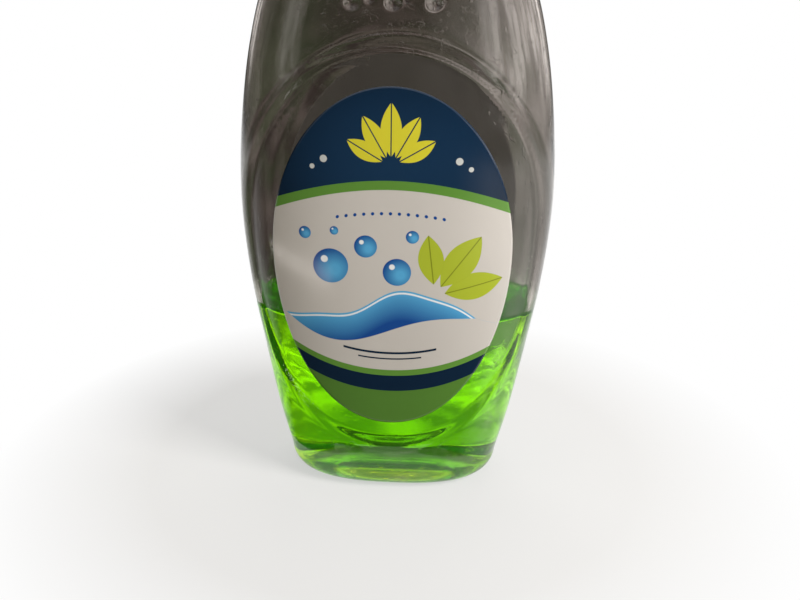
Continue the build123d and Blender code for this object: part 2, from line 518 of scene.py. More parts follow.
def make_piece(name, points, faces, finishes, body, slot, node):
    """A mesh object on its body, in place of the CAD node that it stands for."""
    piece = make_object(name, points, faces, finishes)
    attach(piece, body)
    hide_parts(node)
    return piece


# Body

# How far the soft lip spreads, as a share of the panel's sloping edge
LIP_SPREAD_SHARE = 0.6
# The oval at the shoulder as shares of the widest one, and the power of its curve
SHOULDER_SHARE = 0.85
SHOULDER_POWER = 0.85
# Where the panel's rim ends and the seam starts, as shares of that oval's half width
RIM_SIDE_SHARE = 0.94
SEAM_SIDE_SHARE = 0.9985
# How far past the outer bump's middle the close columns reach, as a share of its radius
BUMP_SIDE_SHARE = 1.5
# How close the columns are at the bumps, at the rim, round the side and at the seam
COLUMN_CLOSENESS = (1.5, 1.35, 0.8, 4.0)
# Rows of the foot
PUSH_UP_ROWS = 18
PUSH_UP_START_SHARE = 0.04
RING_SHARES = (0.33, 0.67)
HEEL_ROWS = 16
SEAM_SPREAD = 0.35 * MM
# How far the close rows reach past the panel's ends, inside them, past the bumps and under the neck
RIM_OUTSIDE = 2 * MM
RIM_INSIDE = 12 * MM
BUMP_MARGIN_SHARE = 1.3
SHOULDER_TOP = 14 * MM
# The least gap between a skin's last two rows where it is cut off
LAST_ROW_GAP = 0.2 * MM


def body_stations(sizes):
    """Height, half width, half depth and squareness of the body's sections, heel to neck."""
    across, along = sizes.width / 2, sizes.depth / 2
    heel = (sizes.heel_radius, across * HEEL_WIDTH_SHARE, along * HEEL_DEPTH_SHARE, HEEL_SQUARENESS)
    root = sizes.neck_radius + sizes.neck_flare
    rows = [heel]
    rows += [(sizes.height * h, across * w, along * d, n) for h, w, d, n in SECTIONS]
    rows.append((sizes.height, root, root, ROUND))
    return rows


def panel_depth(points, sizes, bevel):
    """How deep the label panels lie under each point of the plain body."""
    x, rise = points[..., 0], points[..., 2] - sizes.panel_waist
    power = np.where(rise > 0, EGG_TOP_POWER, EGG_BOTTOM_POWER)
    reach = np.where(rise > 0, sizes.panel_top, sizes.panel_bottom)
    share = np.abs(x / sizes.panel_half_width) ** power + np.abs(rise / reach) ** power
    share = np.maximum(share ** (1 / power), NEAR_MIDDLE)
    # How far inside the panel's outline each point lies, along the line from its middle
    inside = (1 - share) / share * np.hypot(x, rise)
    inside = np.where(share > NEAR_MIDDLE, inside, sizes.panel_half_width)
    lip = np.exp(-(((inside + bevel) / (LIP_SPREAD_SHARE * bevel)) ** 2))
    return sizes.panel_sink * ease(inside / bevel + 0.5) - sizes.rim_lip * lip


def bump_height(points, sizes):
    """How far the grip bumps stand out over each point of the plain body."""
    rise = sizes.bump_rise
    ball = (sizes.bump_radius**2 + rise**2) / (2 * rise)
    height = np.zeros(points.shape[:-1])
    for row in BUMP_ROWS:
        for column in BUMP_COLUMNS:
            x = points[..., 0] - column * sizes.bump_pitch
            z = points[..., 2] - sizes.bump_row - row * sizes.bump_row_pitch
            cap = np.sqrt(np.maximum(ball**2 - x**2 - z**2, 0)) - (ball - rise)
            height = np.maximum(height, cap)
    return height


def column_turns(sizes):
    """Turns round the oval, close together across the grip bumps and at the seams."""
    across, along = sizes.width / 2 * SHOULDER_SHARE, sizes.depth / 2 * SHOULDER_SHARE
    fine = np.linspace(0, pi / 2, 4001)
    x, y = across * np.cos(fine) ** SHOULDER_POWER, along * np.sin(fine) ** SHOULDER_POWER
    step = np.hypot(np.diff(x), np.diff(y))
    middle = (x[1:] + x[:-1]) / 2
    bumps = sizes.bump_pitch + BUMP_SIDE_SHARE * sizes.bump_radius
    edges = (bumps, across * RIM_SIDE_SHARE, across * SEAM_SIDE_SHARE)
    closeness = np.array(COLUMN_CLOSENESS)[np.searchsorted(edges, middle)]
    travel = np.concatenate([[0], np.cumsum(step * closeness)])
    quarter = np.interp(np.linspace(0, travel[-1], COLUMNS // 4 + 1), travel, fine)
    half = np.concatenate([quarter, pi - quarter[-2::-1]])
    return np.concatenate([half, pi + half[1:-1]])


def foot_rings(sizes, coarse):
    """Rings from the middle of the push-up over the standing ring and round the heel."""
    across, along = sizes.width / 2 * HEEL_WIDTH_SHARE, sizes.depth / 2 * HEEL_DEPTH_SHARE
    heel, ring = sizes.heel_radius, sizes.foot_ring
    rows = []
    for share in np.linspace(PUSH_UP_START_SHARE, 1.0, int(PUSH_UP_ROWS / coarse)):
        rise = sizes.push_up * (1 - share**4)
        rows.append((rise, (across - heel - ring) * share, (along - heel - ring) * share))
    for share in RING_SHARES:
        pull = heel + ring * (1 - share)
        rows.append((0, across - pull, along - pull))
    for lean in np.linspace(0, pi / 2, int(HEEL_ROWS / coarse)):
        pull = heel * (1 - sin(lean))
        rows.append((heel * (1 - cos(lean)), across - pull, along - pull))
    return [(*row, HEEL_SQUARENESS) for row in rows]


def side_heights(sizes, coarse):
    """Heights of the rows up the side, close together at the panel's ends and at the bumps."""
    panel_foot = sizes.panel_waist - sizes.panel_bottom
    panel_top = sizes.panel_waist + sizes.panel_top
    past = sizes.bump_radius * BUMP_MARGIN_SHARE
    # Where each stretch starts, and how far apart its rows are
    stretches = (
        (sizes.heel_radius, 1.4 * MM),
        (panel_foot - RIM_OUTSIDE, 0.75 * MM),
        (panel_foot + RIM_INSIDE, 1.7 * MM),
        (panel_top - RIM_INSIDE, 0.7 * MM),
        (panel_top + RIM_OUTSIDE, 1.6 * MM),
        (sizes.bump_row - past, 0.6 * MM),
        (sizes.bump_row + sizes.bump_row_pitch + past, 1.8 * MM),
        (sizes.height - SHOULDER_TOP, 1.2 * MM),
    )
    ends = [start for start, _ in stretches[1:]] + [sizes.height]
    heights = []
    for (start, step), end in zip(stretches, ends):
        count = max(2, int((end - start) / (step * coarse)))
        heights += list(np.linspace(start, end, count, endpoint=False))
    return np.array(heights[1:] + [sizes.height])


def body_skin(sizes, turns, inset=0.0, coarse=1.0, top=None):
    """Points of the body's skin moved in by inset, with its panels, and up to top if it is given.

    The outside also has the grip bumps and the mould seam.
    """
    heights = side_heights(sizes, coarse)
    if top is not None:
        heights = np.append(heights[heights < top - LAST_ROW_GAP], top)
    across, along, squareness = smooth_through(body_stations(sizes), heights).T
    rings = foot_rings(sizes, coarse) + list(zip(heights, across, along, squareness))
    plain = oval_rings(rings, turns)
    pull = inset + panel_depth(plain, sizes, sizes.panel_bevel * (INSIDE_BEVEL if inset else 1))
    if not inset:
        seam = np.exp(-((plain[..., 1] / SEAM_SPREAD) ** 2))
        seam = seam * (plain[..., 2] > sizes.heel_radius)
        pull = pull - bump_height(plain, sizes) - sizes.seam_rise * seam
    return plain - outward(plain) * pull[..., None]


# Bottle

NECK_ROUNDING = 0.6 * MM
# Where the neck's skin starts over the root outside and ends under it inside
NECK_START = 0.5 * MM
NECK_END = 0.6 * MM
NECK_STEP = 1.6 * MM


def neck_profile(sizes):
    """Radius and height of the neck from its root, over the lip and down to the inside."""
    bead = sizes.height + sizes.bead_lift
    neck, bore, lip = sizes.neck_radius, sizes.neck_bore, BOTTLE_HIGH.z
    corners = [
        (neck, sizes.height + NECK_START),
        (neck, bead),
        (sizes.bead_radius, bead),
        (sizes.bead_radius, bead + sizes.bead_height),
        (neck, bead + sizes.bead_height),
        (neck, lip),
        (bore, lip),
        (bore, sizes.height - NECK_END),
    ]
    rounds = {index: (NECK_ROUNDING, 4) for index in range(1, 7)}
    return divided(rounded(corners, rounds), NECK_STEP)


def bottle_finish(colours):
    """Clear blown plastic: slightly smoky, glossy and wavy, with haze and dust on it."""
    finish = Finish("clear_blown_plastic")
    finish.set(Base_Color=colours.plastic, Transmission_Weight=1.0, IOR=1.5, Coat_Weight=0.0)
    wave = finish.noise(26.0, 1.0, (1.0, 1.0, 0.45))
    fine = finish.noise(900.0)
    film = finish.patches(34.0, 3.0, 5, 0.0, (1.0, 1.0, 0.22))
    haze = film * finish.z.above(72.0, 10.0) * finish.z.below(236.0, 8.0)
    dust = finish.noise(330.0, 0.0).above(0.73, 0.03)
    finish.set(Roughness=fine * 0.04 + haze * 0.16 + 0.015)
    finish.bump(wave + fine * 0.01 + dust * 0.08, 1.2 * MM, 0.35)
    return finish.material


class SOAPBOTTLE_OT_bottle(bpy.types.Operator):
    """Builds the clear bottle with its panels, grip bumps, foot, neck and thread"""

    bl_idname = "soap_bottle.bottle"
    bl_label = "Bottle"

    def execute(self, context):
        sizes = context.scene.soap_bottle_sizes
        turns = column_turns(sizes)
        outer = body_skin(sizes, turns)
        neck = round_rings(neck_profile(sizes), turns)
        inner = body_skin(sizes, turns, sizes.wall, INSIDE_COARSE)[::-1]
        points, faces = closed_skin(np.concatenate([outer, neck, inner[1:]]))
        screw = ridge(
            sizes.neck_radius,
            sizes.thread_rise,
            sizes.thread_pitch,
            NECK_THREAD_TURNS,
            BOTTLE_HIGH.z - sizes.thread_drop,
            sizes.thread_foot,
            sizes.thread_crest,
        )
        points, faces = with_ridge(points, faces, screw)
        finish = bottle_finish(context.scene.soap_bottle_colours)
        on = ("bottle_body", "clear_plastic", "bottle")
        make_piece("clear_bottle", points, faces, [finish], *on)
        return {"FINISHED"}


# Soap

# How far the soap laps into the wall, so that no air shows between them
SOAP_OVERLAP = 0.2 * MM
# Rings of its surface: millimetres in from the wall, then shares of the last of those
SURFACE_PULLS = (0.15, 0.35, 0.6, 1.0, 1.6, 2.4, 3.6, 6.0, 12.0)
SURFACE_SHARES = (0.75, 0.5, 0.25, 0.08)
# How far in from the wall its climb fades
MENISCUS_REACH = 0.8 * MM


def soap_finish(colours):
    """Transparent green liquid that deepens with the distance that light travels in it, with a
    faint painted glow.
    """
    finish = Finish("green_soap")
    finish.set(
        Base_Color=WHITE,
        Transmission_Weight=1.0,
        IOR=1.36,
        Roughness=0.0,
        # A faint green emission: a painted glow that stands in for light reaching the soap through
        # the walls
        Emission_Color=(0.16, 0.60, 0.01),
        Emission_Strength=0.035,
    )
    inputs = {"Color": colours.soap, "Density": 300.0}
    volume = finish.node("ShaderNodeVolumeAbsorption", {}, inputs)
    finish.feed(finish.end.inputs["Volume"], volume.outputs[0])
    return finish.material


class SOAPBOTTLE_OT_soap(bpy.types.Operator):
    """Builds the soap, which fills the bottle up to its level and climbs the wall a little"""

    bl_idname = "soap_bottle.soap"
    bl_label = "Soap"

    def execute(self, context):
        sizes = context.scene.soap_bottle_sizes
        level, climb = sizes.soap_level, sizes.meniscus
        inset = sizes.wall - SOAP_OVERLAP
        side = body_skin(sizes, column_turns(sizes), inset, INSIDE_COARSE, level + climb)
        edge = side[-1]
        span = np.hypot(edge[:, 0], edge[:, 1])
        surface = []
        for pull in np.array(SURFACE_PULLS) * MM:
            ring = edge * (1 - pull / span)[:, None]
            ring[:, 2] = level + climb * np.exp(-pull / MENISCUS_REACH)
            surface.append(ring)
        last = surface[-1]
        for share in SURFACE_SHARES:
            ring = last * share
            ring[:, 2] = level
            surface.append(ring)
        points, faces = closed_skin(np.concatenate([side, np.array(surface)]))
        finish = soap_finish(context.scene.soap_bottle_colours)
        on = ("bottle_body", "green_soap", "soap")
        make_piece("green_soap", points, faces, [finish], *on)
        return {"FINISHED"}


# Labels

LABEL_COLUMNS = 180
# Rings of a label as shares of its outline, close together at its edge
LABEL_SHARES = (*np.linspace(0.03, 0.96, 40), 0.985, 1.0)
# The film lies this far over the panel's floor
LABEL_LIFT = 0.04 * MM
# Half the span over which the panel's slope is taken
SLOPE_STEP = 0.2 * MM

# Places on the print are in millimetres, across from the middle and up from the foot
EDGE_SOFTNESS = 0.15
# How the edges of the fields fall or climb away from the middle, per square millimetre
DOME_SAG = 0.00465
LINE_SAG = 0.0049
BAND_SAG = 0.0065
FOOT_SAG = 0.0070
WAVE_MIDDLE = -4
WAVE_HALF = 36
WAVE_HEIGHT = 75
# Bubbles: place and radius
BUBBLES = (
    (-22, 95, 6.6),
    (-9, 103, 4.2),
    (2.5, 93.5, 5.2),
    (8.0, 107, 2.4),
    (-31.5, 107, 2.3),
    (-20.5, 108.5, 1.6),
)
DOT_ROW = 115.5
DOT_ROW_HALF = 20.8
DOT_PITCH = 3.2
DOT_RADIUS = 0.62
# Fine rules: height, half length and half thickness
RULES = ((61.0, 17.6, 0.45), (58.6, 12.0, 0.3))
# Leaves: place of the root, lean in degrees, length and width
LEAVES = ((20, 85.5, 14, 22, 10.5), (18.5, 88, 53, 24, 11.5), (16, 89, 97, 19, 9.5))
VEIN = 0.22
# The fan: lean in degrees, length and width of each leaf, then its middle and its open root
FAN = ((150, 15, 6.4), (120, 17, 7.0), (90, 19, 7.6), (60, 17, 7.0), (30, 15, 6.4))
FAN_HEIGHT = 132.5
FAN_ROOT = 3.2
# Drops on both sides of the fan: place and radius
DROPS = ((24, 134.5, 1.3), (28.2, 131.6, 0.9))
# The back print: its bars, its upper field, the line under it, and its foot
BAR_PITCH = 3.4
BAR_HALF = 36.0
BARS_FOOT = 50.0
BARS_TOP = 118.0
BACK_DOME = 128.0
BACK_LINE = 125.0
BACK_BAND = 44.0


def body_at(sizes, x, z):
    """Depth of the plain body's front or back face at x and z, always positive."""
    across, along, squareness = smooth_through(body_stations(sizes), z.ravel()).T
    share = np.clip(np.abs(x.ravel()) / across, 0, 0.999)
    return (along * (1 - share**squareness) ** (1 / squareness)).reshape(x.shape)


def label_skin(sizes, film, waist, box, side, power):
    """Points and faces of a film that lies in the panel, and its first point on the inside."""
    low, high = box
    turns = circle_turns(LABEL_COLUMNS)
    over = np.sin(turns) > 0
    reach = np.where(over, high.z - waist, waist - low.z)
    bent = np.where(over, 1.0, 2 / power)
    outline_x, outline_z = superellipse(turns, (high.x - low.x) / 2, reach, bent)
    shares = np.array(LABEL_SHARES)[:, None]
    x, z = outline_x * shares, waist + outline_z * shares
    step = SLOPE_STEP
    slope_x = (body_at(sizes, x + step, z) - body_at(sizes, x - step, z)) / (2 * step)
    slope_z = (body_at(sizes, x, z + step) - body_at(sizes, x, z - step)) / (2 * step)
    normal = np.stack([-slope_x, np.ones_like(x), -slope_z], axis=-1)
    normal /= np.linalg.norm(normal, axis=-1, keepdims=True)
    back = np.stack([x, body_at(sizes, x, z), z], axis=-1)
    back = back - normal * (sizes.panel_sink - LABEL_LIFT)
    front = back + normal * film
    points, faces = closed_skin(np.concatenate([front, back[::-1]]) * (1, side, 1))
    if side > 0:
        faces = turned_over(faces)
    return points, faces, len(shares) * len(turns)


def make_label(scene, face, waist, box, side, power, finishes):
    """A label with print on its outside and another finish on the side towards the bottle."""
    sizes, film = scene.soap_bottle_sizes, scene.soap_bottle_labels.film
    points, faces, inward = label_skin(sizes, film, waist, box, side, power)
    on = ("bottle_body", f"{face}_film", f"{face}_label")
    piece = make_piece(f"{face}_label_film", points, faces, finishes, *on)
    middles = {len(points) - 2: 0, len(points) - 1: inward}
    for polygon in piece.data.polygons:
        corners = [middles.get(corner, corner) for corner in polygon.vertices]
        polygon.material_index = int(max(corners) >= inward)


def circle(finish, x, z, radius, soft=EDGE_SOFTNESS):
    """1 inside a circle on the label."""
    return ((finish.x - x) ** 2 + (finish.z - z) ** 2).root().below(radius, soft)


def leaf(finish, x, z, lean, long, wide):
    """1 inside a pointed leaf from its root at x and z, and 1 on it beside its vein."""
    along = (finish.x - x) * cos(lean) + (finish.z - z) * sin(lean)
    across = abs((finish.z - z) * cos(lean) - (finish.x - x) * sin(lean))
    share = (along / long).held()
    half = share * (1 - share) * (2 * wide) - 0.1
    inside = (half - across).above(0.0, EDGE_SOFTNESS)
    return inside, inside * across.above(VEIN, EDGE_SOFTNESS)


def wave_over(finish, ground, colours):
    """A blue wave across the pale field, drawn out to a point at both ends, with a pale crest."""
    x, z = finish.x, finish.z
    reach = ((x - WAVE_MIDDLE) / WAVE_HALF).held(-1.0)
    taper = 1 - reach * reach
    swell = WAVE_HEIGHT + (x * 0.085 + 0.4).math("SINE") * 4.5
    crest = swell + taper * (7.5 + (x * 0.2 + 1.2).math("SINE") * 1.4)
    under = crest - z
    wave = under.above(0.0, 0.2) * (z - swell + taper * 6.5).above(0.0, 0.2)
    water = finish.mix((under / 12).held(), colours.sky, colours.deep)
    foam = under.between(0.7, 1.4, 0.3) * wave
    return finish.mix(foam, finish.mix(wave, ground, water), colours.foam)


def bubbles_over(finish, ground, colours):
    """Blue bubbles over the wave, each with a paler heart and a shine."""
    for x, z, radius in BUBBLES:
        disc = circle(finish, x, z, radius)
        heart = circle(finish, x + radius * 0.25, z - radius * 0.2, radius * 0.75, radius)
        shine = circle(finish, x - radius * 0.35, z + radius * 0.38, radius * 0.2, 0.3)
        skin = finish.mix(shine, finish.mix(heart, colours.deep, colours.sky), colours.shine)
        ground = finish.mix(disc, ground, skin)
    return ground


def rules_over(finish, ground, colours):
    """A row of small dots under the upper field, and two fine rules over the foot."""
    x, z, square = finish.x, finish.z, finish.x * finish.x
    from_row = z + square * LINE_SAG - DOT_ROW
    from_dot = ((x / DOT_PITCH + 0.5).math("FRACT") - 0.5) * DOT_PITCH
    dots = (from_row**2 + from_dot**2).root().below(DOT_RADIUS, 0.2)
    ground = finish.mix(dots * abs(x).below(DOT_ROW_HALF, 0.1), ground, colours.deep)
    for height, half, thick in RULES:
        rule = abs(z - square * BAND_SAG - height).below(thick, EDGE_SOFTNESS)
        ground = finish.mix(rule * abs(x).below(half, 0.2), ground, colours.navy)
    return ground


def leaves_over(finish, ground, colours):
    """Leaves at the right of the pale field, with darker veins."""
    for x, z, angle, long, wide in LEAVES:
        inside, blade = leaf(finish, x, z, radians(angle), long, wide)
        ground = finish.mix(inside, ground, shade(colours.leaf, 0.55))
        ground = finish.mix(blade, ground, colours.leaf)
    return ground


def fan_over(finish, ground, colours):
    """A fan of small leaves in the upper field, and drops beside it."""
    for angle, long, wide in FAN:
        lean = radians(angle)
        x, z = cos(lean) * FAN_ROOT, FAN_HEIGHT + sin(lean) * FAN_ROOT
        _, blade = leaf(finish, x, z, lean, long, wide)
        ground = finish.mix(blade, ground, colours.yellow)
    for x, z, radius in DROPS:
        for side in (-1, 1):
            ground = finish.mix(circle(finish, side * x, z, radius), ground, colours.pearl)
    return ground


def gloss_print(finish, fields):
    """The gloss of a printed film, with faint rolling marks."""
    roll = finish.noise(160.0, 2.0, UPRIGHT)
    finish.set(Base_Color=fields, Roughness=roll * 0.08 + 0.09, Specular_IOR_Level=0.5)
    finish.bump(roll, 0.12 * MM, 0.25)


def front_print(colours, labels):
    """Front label: dark upper field, pale field with a wave, bubbles and leaves, and a foot."""
    finish = Finish("front_print")
    x, z, square = finish.x, finish.z, finish.x * finish.x
    top, band = labels.dome_height / MM, labels.band_height / MM
    glow = (1 - ((x / 46) ** 2 + ((z - 133) / 30) ** 2)).most(0.0)
    dark = finish.mix(glow, colours.navy, shade(colours.navy, 1.9))
    dark = fan_over(finish, dark, colours)
    pale = finish.mix(z.above(80.0, 50.0), shade(colours.white, 0.93), colours.white)
    for motif in (wave_over, bubbles_over, rules_over, leaves_over):
        pale = motif(finish, pale, colours)
    # Each field over the one before it, from the top of the label down
    rise = z - square * BAND_SAG
    under_line = (z + square * LINE_SAG).below(top - labels.dome_line / MM, EDGE_SOFTNESS)
    fields = finish.mix((z + square * DOME_SAG).above(top, EDGE_SOFTNESS), colours.green, dark)
    fields = finish.mix(under_line, fields, pale)
    over_band = rise.below(band + labels.band_line / MM, EDGE_SOFTNESS)
    fields = finish.mix(over_band, fields, colours.green)
    fields = finish.mix(rise.below(band, EDGE_SOFTNESS), fields, dark)
    foot = (z - square * FOOT_SAG).below(band - labels.band_width / MM, EDGE_SOFTNESS)
    gloss_print(finish, finish.mix(foot, fields, shade(colours.green, 0.75)))
    return finish.material


def back_print(colours):
    """Back label: a dark upper field and a pale one with plain bars."""
    finish = Finish("back_print")
    x, z = finish.x, finish.z
    bars = (z / BAR_PITCH).math("FRACT").above(0.5, 0.08)
    inside = abs(x).below(BAR_HALF, 0.3) * z.between(BARS_FOOT, BARS_TOP, 0.3)
    fields = finish.mix(bars * inside, colours.white, (0.42, 0.43, 0.44))
    fields = finish.mix(z.above(BACK_LINE, EDGE_SOFTNESS), fields, colours.green)
    fields = finish.mix(z.above(BACK_DOME, EDGE_SOFTNESS), fields, colours.navy)
    gloss_print(finish, finish.mix(z.below(BACK_BAND, EDGE_SOFTNESS), fields, colours.green))
    return finish.material


def label_reverse(name, upper, lower, glow):
    """The side of a label that faces the bottle: painted shade above the soap's level and painted
    light below it, all glowing a little as a painted light that stands in for daylight through the
    film.
    """
    finish = Finish(name)
    cloud = finish.mix(finish.noise(60.0), shade(upper, 0.85), shade(upper, 1.15))
    # Painted shade above the soap's level and painted light below it
    field = finish.mix(finish.z.above(76.0, 6.0), lower, cloud)
    # The emission is a painted glow that stands in for daylight through the film
    finish.set(Base_Color=field, Roughness=0.55, Emission_Color=field, Emission_Strength=glow)
    return finish.material


class SOAPBOTTLE_OT_labels(bpy.types.Operator):
    """Builds the printed film on the front and on the back"""

    bl_idname = "soap_bottle.labels"
    bl_label = "Labels"

    def execute(self, context):
        scene = context.scene
        colours, labels = scene.soap_bottle_colours, scene.soap_bottle_labels
        # Front label's inner side: painted shade above the soap's level, painted light and a faint
        # painted glow below it
        reverse = label_reverse("front_reverse_painted_glow", (0.35, 0.35, 0.33), (0.55, 0.56, 0.52), 0.15)
        finishes = (front_print(colours, labels), reverse)
        make_label(scene, "front", labels.front_waist, FRONT_BOX, -1, FRONT_LABEL_POWER, finishes)
        # Back label's inner side: dark painted shade above the soap's level, bright painted light
        # and a stronger painted glow below it
        reverse = label_reverse("back_reverse_painted_glow", (0.11, 0.10, 0.085), (0.60, 0.62, 0.50), 0.4)
        finishes = (back_print(colours), reverse)
        make_label(scene, "back", labels.back_waist, BACK_BOX, 1, BACK_LABEL_POWER, finishes)
        return {"FINISHED"}


# Cap and wad

BORE_ROUNDING = 0.4 * MM
MOUTH_ROUNDING = 0.35 * MM
DISH_SLOPE = 0.8 * MM
DISH_ROUNDING = 0.3 * MM
WAD_ROUNDING = 0.25 * MM
CAP_STEP = 0.9 * MM
# Where the ribs start over the mouth and end under the top, and how long they fade at each end
RIB_FOOT = 0.8 * MM
RIB_TOP = 1.1 * MM
RIB_FOOT_FADE = 0.5 * MM
RIB_TOP_FADE = 0.8 * MM
# A rib swells where the cosine round the cap is within this of its middle value
RIB_SPREAD = 0.35
COLUMNS_PER_RIB = 8
# How far inside the skirt's radius a point may lie and still carry a rib
SKIRT_MARGIN = 0.05 * MM


def cap_finish(colours):
    """White moulded plastic with a fine grain."""
    finish = Finish("white_cap_plastic")
    grain = finish.noise(2600.0, 3.0)
    finish.set(
        Base_Color=finish.mix(finish.noise(70.0), shade(colours.cap, 0.96), colours.cap),
        Roughness=grain * 0.12 + 0.32,
        Subsurface_Weight=0.06,
        Subsurface_Radius=(1.0, 0.9, 0.8),
        Subsurface_Scale=1.0 * MM,
    )
    finish.bump(grain, 0.03 * MM, 0.5)
    return finish.material


def wad_finish():
    """Pale pressed foam."""
    finish = Finish("foam_wad")
    cells = finish.noise(1800.0, 4.0)
    finish.set(
        Base_Color=finish.mix(cells, (0.62, 0.62, 0.60), (0.78, 0.78, 0.75)),
        Roughness=cells * 0.2 + 0.65,
    )
    finish.bump(cells, 0.06 * MM, 0.6)
    return finish.material


def cap_profile(cap, bore, outer):
    """Radius and height of the cap from its ceiling, round its mouth and over its top."""
    foot, top, dish = CAP_LOW.z, CAP_HIGH.z, CAP_HIGH.z - cap.dish_depth
    corners = [
        (INNERMOST, WAD_HIGH.z),
        (bore, WAD_HIGH.z),
        (bore, foot + cap.mouth_chamfer),
        (bore + cap.mouth_chamfer, foot),
        (outer, foot),
        (outer, top),
        (outer - cap.rim_width, top),
        (outer - cap.rim_width - DISH_SLOPE, dish),
        (INNERMOST, dish),
    ]
    rounds = {
        1: (BORE_ROUNDING, 3),
        4: (MOUTH_ROUNDING, 4),
        5: (cap.top_rounding, 8),
        6: (DISH_ROUNDING, 3),
    }
    return divided(rounded(corners, rounds), CAP_STEP)


def ribbed(grid, turns, cap, outer):
    """A cap's skin with its grip ribs, which fade out towards the mouth and the top."""
    radius, height = np.hypot(grid[..., 0], grid[..., 1]), grid[..., 2]
    tooth = ease((np.cos(turns * CAP_RIBS) + RIB_SPREAD) / (2 * RIB_SPREAD))[None, :]
    tall = ease((height - CAP_LOW.z - RIB_FOOT) / RIB_FOOT_FADE)
    tall = tall * ease((CAP_HIGH.z - RIB_TOP - height) / RIB_TOP_FADE)
    on_skirt = radius > outer - SKIRT_MARGIN
    grow = 1 + cap.rib_rise * tooth * tall * on_skirt / np.maximum(radius, NEAR_MIDDLE)
    return grid * np.stack([grow, grow, np.ones_like(grow)], axis=-1)


class SOAPBOTTLE_OT_cap(bpy.types.Operator):
    """Builds the ribbed screw cap with its inside thread"""

    bl_idname = "soap_bottle.cap"
    bl_label = "Cap"

    def execute(self, context):
        sizes, cap = context.scene.soap_bottle_sizes, context.scene.soap_bottle_cap
        bore = WAD_HIGH.x + cap.clearance
        outer = (CAP_HIGH.x - CAP_LOW.x) / 2 - cap.rib_rise
        turns = circle_turns(CAP_RIBS * COLUMNS_PER_RIB)
        grid = round_rings(cap_profile(cap, bore, outer), turns)
        points, faces = closed_skin(ribbed(grid, turns, cap, outer))
        screw = ridge(
            bore,
            -cap.thread_depth,
            sizes.thread_pitch,
            CAP_THREAD_TURNS,
            BOTTLE_HIGH.z - sizes.thread_drop + sizes.thread_pitch / 2,
            cap.thread_foot,
            cap.thread_crest,
        )
        points, faces = with_ridge(points, faces, screw, inside=True)
        finish = cap_finish(context.scene.soap_bottle_colours)
        on = ("cap_body", "white_plastic", "cap")
        make_piece("ribbed_cap", points, faces, [finish], *on)
        return {"FINISHED"}


class SOAPBOTTLE_OT_wad(bpy.types.Operator):
    """Builds the sealing wad that the cap presses on the neck's lip"""

    bl_idname = "soap_bottle.wad"
    bl_label = "Sealing wad"

    def execute(self, context):
        rim, low, high = (WAD_HIGH.x - WAD_LOW.x) / 2, WAD_LOW.z, WAD_HIGH.z
        radii = (INNERMOST, rim / 2, rim)
        disc = [(radius, low) for radius in radii] + [(radius, high) for radius in radii[::-1]]
        rounding = (WAD_ROUNDING, 4)
        disc = rounded(disc, {2: rounding, 3: rounding})
        points, faces = closed_skin(round_rings(disc, circle_turns(96)))
        on = ("wad_body", "foam_wad", "cap_liner")
        make_piece("sealing_wad", points, faces, [wad_finish()], *on)
        return {"FINISHED"}


# Stage

# The camera stands where the photograph's did
CAMERA_DISTANCE = 0.3459
CAMERA_HEIGHT = 0.1964
CAMERA_SIDE = 0.0017
CAMERA_TURN = radians(3.5)
CAMERA_TILT = radians(20)
CAMERA_ROLL = radians(0.7)
# The focal length as a share of the picture's width
FOCAL_SHARE = 900 / 800
# Light from all round
ROOM_LIGHT = (1.0, 0.91, 0.75)
ROOM_STRENGTH = 0.20
# Softboxes: name, place, size, power and colour
LAMPS = (
    ("key_softbox", (0.95, -0.55, 0.75), (0.5, 0.7), 16.0, (1.0, 0.97, 0.95)),
    ("fill_softbox", (-0.95, -0.6, 0.6), (0.4, 0.7), 0.4, (1.0, 0.93, 0.82)),
    ("back_softbox", (0.1, 0.9, 0.9), (0.9, 0.5), 3.0, WHITE),
)
LAMP_AIM = (0, 0, 0.12)
FLOOR_RADII = (0.02, 0.1, 0.3, 0.8, 2.0, 5.0)
# The bowl's radii and heights
BOWL_FLOOR = ((0.055, 0.0005), (0.2, 0.0008), (0.4, 0.001), (0.9, 0.002), (1.3, 0.03))
BOWL_WALL = ((1.55, 0.2), (1.68, 0.5), (1.72, 0.9), (1.75, 1.7))
# Windows on its wall: the turns where each starts and ends, softness and strength
WINDOWS = (
    (0.7, 1.3, 0.2, 1.0),
    (-1.2, -0.9, 0.2, 0.42),
    (2.0, 2.5, 0.3, 1.0),
    (-2.5, -2.1, 0.3, 0.7),
)
# Their heights in millimetres and the softness of their ends
WINDOW_HEIGHTS = (190.0, 900.0, 260.0)


def make_world():
    """White to the camera and to mirrored and bent rays, soft warm light otherwise."""
    world = bpy.data.worlds.new("soft_studio")
    bpy.context.scene.world = world
    nodes = Nodes(world)
    seen, _, _ = nodes.rays()
    light = nodes.node("ShaderNodeBackground", {}, {"Color": ROOM_LIGHT, "Strength": ROOM_STRENGTH})
    white = nodes.node("ShaderNodeBackground", {}, {"Color": WHITE, "Strength": 1.0})
    nodes.show(seen, light, white)


